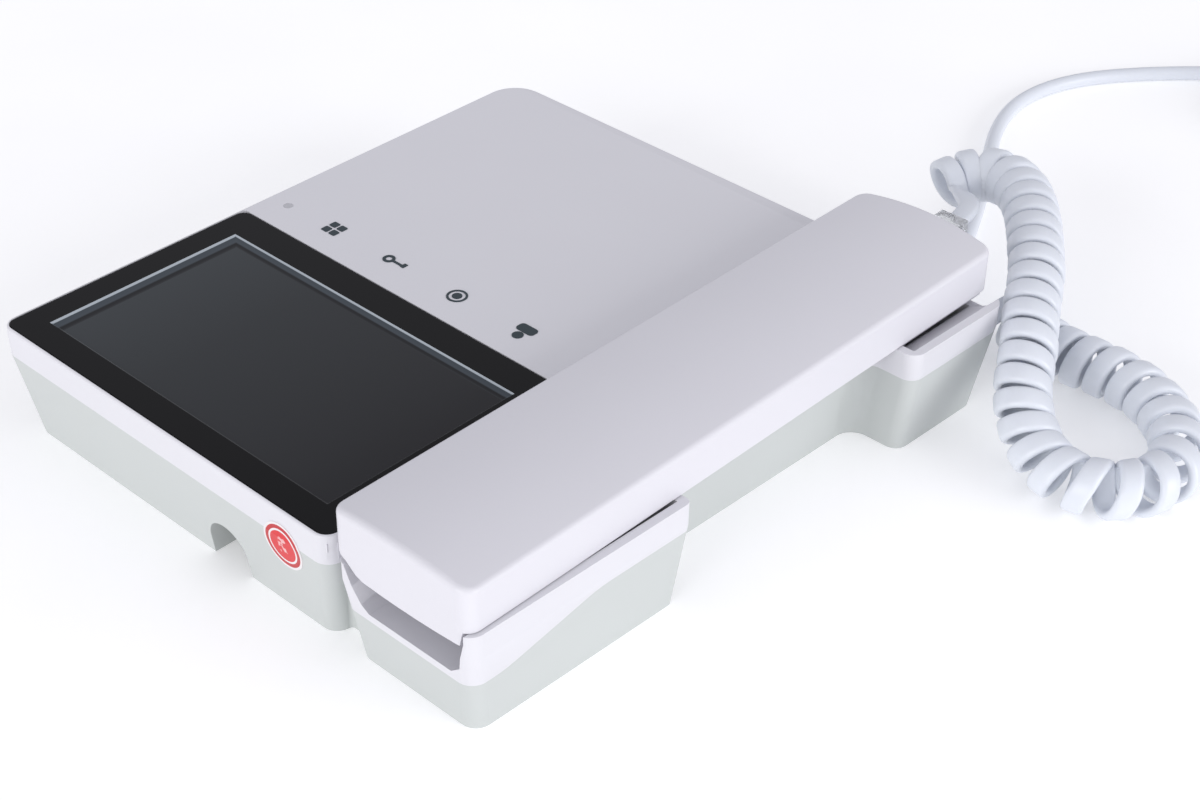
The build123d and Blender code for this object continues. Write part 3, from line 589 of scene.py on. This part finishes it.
def glass_print_and_painted_light(name):
    """Black border print. Within the window, the display with painted shade, darker towards the handset, and
    along its right and lower edges a painted highlight, a painted lit wall and a painted shadow.
    """
    made = material(name, 0.10, Specular_IOR_Level=0.12)
    nodes = Nodes(made)
    right = WINDOW_CENTRE[0] + WINDOW_SIZE[0] / 2
    bottom = WINDOW_CENTRE[1] - WINDOW_SIZE[1] / 2
    top, left = bottom + WINDOW_SIZE[1], right - WINDOW_SIZE[0]
    x, y = nodes.axis("X"), nodes.axis("Y")
    from_right = nodes.math("SUBTRACT", right, x)
    from_bottom = nodes.math("SUBTRACT", y, bottom)
    from_left, from_top = nodes.math("SUBTRACT", x, left), nodes.math("SUBTRACT", top, y)
    inside = nodes.math("MINIMUM", nodes.math("MINIMUM", from_right, from_bottom),
                        nodes.math("MINIMUM", from_left, from_top))
    within = nodes.math("GREATER_THAN", inside, 0.0)
    across = nodes.math("DIVIDE", from_right, WINDOW_SIZE[0])
    # Painted shade: the display darkens from the window's right edge towards the handset.
    screen = nodes.ramp(across, [(0.0, (0.050, 0.056, 0.062)), (0.35, (0.036, 0.039, 0.043)),
                                 (1.0, (0.024, 0.024, 0.027))])
    # Painted light and shade along the window's right and lower edges: a painted highlight line, a painted
    # lit wall, then a painted shadow that lightens back to the display.
    edge = nodes.math("MINIMUM", from_right, nodes.math("MULTIPLY", from_bottom, LOWER_EDGE_NARROWER))
    depth = nodes.math("DIVIDE", edge, EDGE_BAND)
    painted_highlight_line = [(0.0, (0.42, 0.46, 0.50)), (0.11, (0.40, 0.44, 0.48))]
    painted_lit_wall = [(0.15, (0.050, 0.062, 0.075)), (0.55, (0.060, 0.072, 0.086))]
    shadow = [(0.68, (0.014, 0.015, 0.017)), (0.85, (0.018, 0.019, 0.022)), (1.0, (0.036, 0.039, 0.043))]
    band = nodes.ramp(depth, painted_highlight_line + painted_lit_wall + shadow)
    near = nodes.math("LESS_THAN", edge, EDGE_BAND)
    seen = nodes.mix(near, screen, band)
    nodes.colour(nodes.mix(within, (0.0045, 0.0045, 0.0052), seen))
    nodes.roughness(nodes.noise(30, 2), 0.07, 0.13)
    nodes.bump(nodes.noise(1800, 2), 0.015)
    return made


def seal_print(name):
    """A round seal: white rim, red ring, white gap, and a red middle with a plain pale blot."""
    made = material(name, 0.32)
    nodes = Nodes(made)
    away = nodes.from_point(STICKER_CENTRE, (1, 0.6, 1))
    white, red = (0.78, 0.74, 0.75), (0.66, 0.012, 0.018)
    rings = nodes.ramp(nodes.math("DIVIDE", away, SEAL_RADIUS),
                       [(0.0, red), (0.66, white), (0.74, (0.50, 0.010, 0.015)), (0.90, white)], "CONSTANT")
    middle = nodes.ramp(nodes.from_point(STICKER_CENTRE, (1 / BLOT_WIDTH, 0, 1 / BLOT_HEIGHT)),
                        [(0.0, (1, 1, 1)), (0.8, (1, 1, 1)), (1.0, (0, 0, 0))])
    blot = nodes.ramp(nodes.noise(620, 2), [(0.47, (0, 0, 0)), (0.53, (1, 1, 1))])
    pale = nodes.math("MULTIPLY", middle, blot)
    nodes.colour(nodes.mix(pale, rings, (0.80, 0.45, 0.45)))
    nodes.bump(nodes.noise(900, 2), 0.05)
    return made


def clear_plastic(name):
    """Clear moulded plastic, faintly uneven."""
    made = material(name, 0.12, Transmission_Weight=0.75, IOR=1.49)
    nodes = Nodes(made)
    nodes.colour(nodes.ramp(nodes.noise(300, 2), [(0.3, (0.86, 0.88, 0.89)), (0.7, (0.96, 0.97, 0.98))]))
    nodes.bump(nodes.noise(500, 2), 0.08)
    return made


def vinyl(name, colour):
    """Soft smooth cable jacket."""
    made = plastic(name, colour, 0.36, spread=0.02, grain=900, bump=0.05)
    shader = made.node_tree.nodes["Principled BSDF"]
    shader.inputs["Subsurface Weight"].default_value = 0.12
    shader.inputs["Subsurface Radius"].default_value = (0.8 * MM, 0.8 * MM, 0.9 * MM)
    shader.inputs["Subsurface Scale"].default_value = 1.0
    return made


def paint(made, *names):
    """Give CAD nodes a material."""
    for name in names:
        piece = NODES[name]
        piece.data.materials.clear()
        piece.data.materials.append(made)


def soften(name, width):
    """Break the sharp edges of a moulded shell."""
    piece = NODES[name]
    weld = piece.modifiers.new("weld", "WELD")
    weld.merge_threshold = 0.004 * MM
    bevel = piece.modifiers.new("bevel", "BEVEL")
    bevel.width, bevel.segments = width, 2
    bevel.limit_method, bevel.angle_limit = "ANGLE", math.radians(62)


# ---- Surroundings ----------------------------------------------------------------------------
def make_floor():
    mesh = bpy.data.meshes.new("floor")
    shape = bmesh.new()
    bmesh.ops.create_grid(shape, x_segments=1, y_segments=1, size=FLOOR_HALF)
    shape.to_mesh(mesh)
    shape.free()
    floor = new_piece("floor", mesh)
    floor.data.materials.append(plastic("floor", (0.95, 0.95, 0.955), 0.9, Emission_Color=(1, 1, 1, 1),
                                        Emission_Strength=0.22))


def light_the_room(colour, strength):
    """Even light from all round."""
    world = bpy.data.worlds.new("world")
    bpy.context.scene.world = world
    world.use_nodes = True
    background = world.node_tree.nodes["Background"]
    background.inputs["Color"].default_value = (*colour, 1)
    background.inputs["Strength"].default_value = strength


def area_light(name, place, target, size, power_w, colour=(1, 1, 1)):
    data = bpy.data.lights.new(name, "AREA")
    data.size, data.energy, data.color = size, power_w, colour
    light = bpy.data.objects.new(name, data)
    bpy.context.scene.collection.objects.link(light)
    light.location = place
    light.rotation_mode = "QUATERNION"
    light.rotation_quaternion = (Vector(target) - Vector(place)).to_track_quat("-Z", "Y")


# ---- The scene -------------------------------------------------------------------------------
make_camera()
contacts = [make_contacts("handset_plug_contacts", "handset_plug", "handset"),
            make_contacts("base_plug_contacts", "base_plug", "root")]
curly = make_curly_cord()
power = make_power_cord()
glass = make_display_glass()

gilt = metal("gilt_contacts", (0.80, 0.58, 0.25), 0.22)
for piece in contacts:
    piece.data.materials.append(gilt)
jacket = vinyl("cable_jacket", (0.72, 0.75, 0.81))
curly.data.materials.append(jacket)
power.data.materials.append(jacket)
glass.data.materials.append(glass_print_and_painted_light("glass_print_and_painted_light"))

paint(plastic("white_shell", (0.70, 0.695, 0.735), 0.40), "front_cover")
paint(plastic("grey_shell", (0.545, 0.570, 0.562), 0.48, grain=2000, bump=0.16), "rear_cover")
paint(plastic("handset_shell", (0.70, 0.692, 0.738), 0.36), "handset_upper_shell", "handset_lower_shell",
      "earpiece_cap", "mouthpiece_cap")
paint(plastic("plunger", (0.78, 0.78, 0.78), 0.3), "hook_plunger")
paint(plastic("key_ink", (0.012, 0.028, 0.038), 0.42), "key_prints")
paint(seal_print("seal_print"), "seal_sticker")
paint(plastic("frosted_pipe", (0.62, 0.62, 0.66), 0.4, Transmission_Weight=0.2), "indicator_light")
paint(clear_plastic("clear_plug"), "handset_plug", "base_plug")
paint(jacket, "strain_relief")
paint(plastic("mains_plug", (0.72, 0.75, 0.80), 0.34), "power_plug")
paint(plastic("tie_band", (0.66, 0.67, 0.70), 0.5), "cord_tie")
paint(metal("nickel_pins", (0.72, 0.69, 0.62), 0.22), "power_plug_pins")
paint(metal("zinc_screws", (0.60, 0.61, 0.63), 0.34), "case_screws", "board_screws", "handset_screws")
paint(metal("pressed_steel", (0.55, 0.56, 0.57), 0.38), "lcd_frame", "chime_speaker", "earpiece_speaker",
      "mouthpiece_microphone")
paint(metal("bar_steel", (0.42, 0.42, 0.42), 0.5), "handset_weight")
paint(metal("spring_wire", (0.52, 0.52, 0.53), 0.3), "hook_spring")
paint(metal("can_sleeve", (0.10, 0.11, 0.17), 0.3), "power_capacitors")
paint(plastic("display_panel", (0.03, 0.032, 0.036), 0.3), "lcd_panel")
paint(circuit_board("circuit_board"), "touch_key_board", "main_board", "power_board")
paint(plastic("chip_epoxy", (0.018, 0.018, 0.020), 0.6), "board_chips")
paint(plastic("black_nylon", (0.028, 0.028, 0.030), 0.5), "hook_switch", "base_jack", "handset_jack")
paint(plastic("natural_nylon", (0.72, 0.70, 0.64), 0.45), "door_connectors")
paint(plastic("ferrite", (0.06, 0.055, 0.05), 0.7), "power_transformer")

for name, width in (("front_cover", 0.45 * MM), ("power_plug", 1.2 * MM)):
    soften(name, width)

make_floor()
light_the_room((0.94, 0.94, 1.0), 0.66)
area_light("front_light", (-0.2, 2.6, 0.72), (0, 0, 0), 1.6, 31, (1.0, 1.0, 0.985))
area_light("side_light", (-2.6, -0.7, 0.70), (0, -0.1, 0), 1.6, 36)
bpy.context.scene.view_settings.view_transform = "Standard"
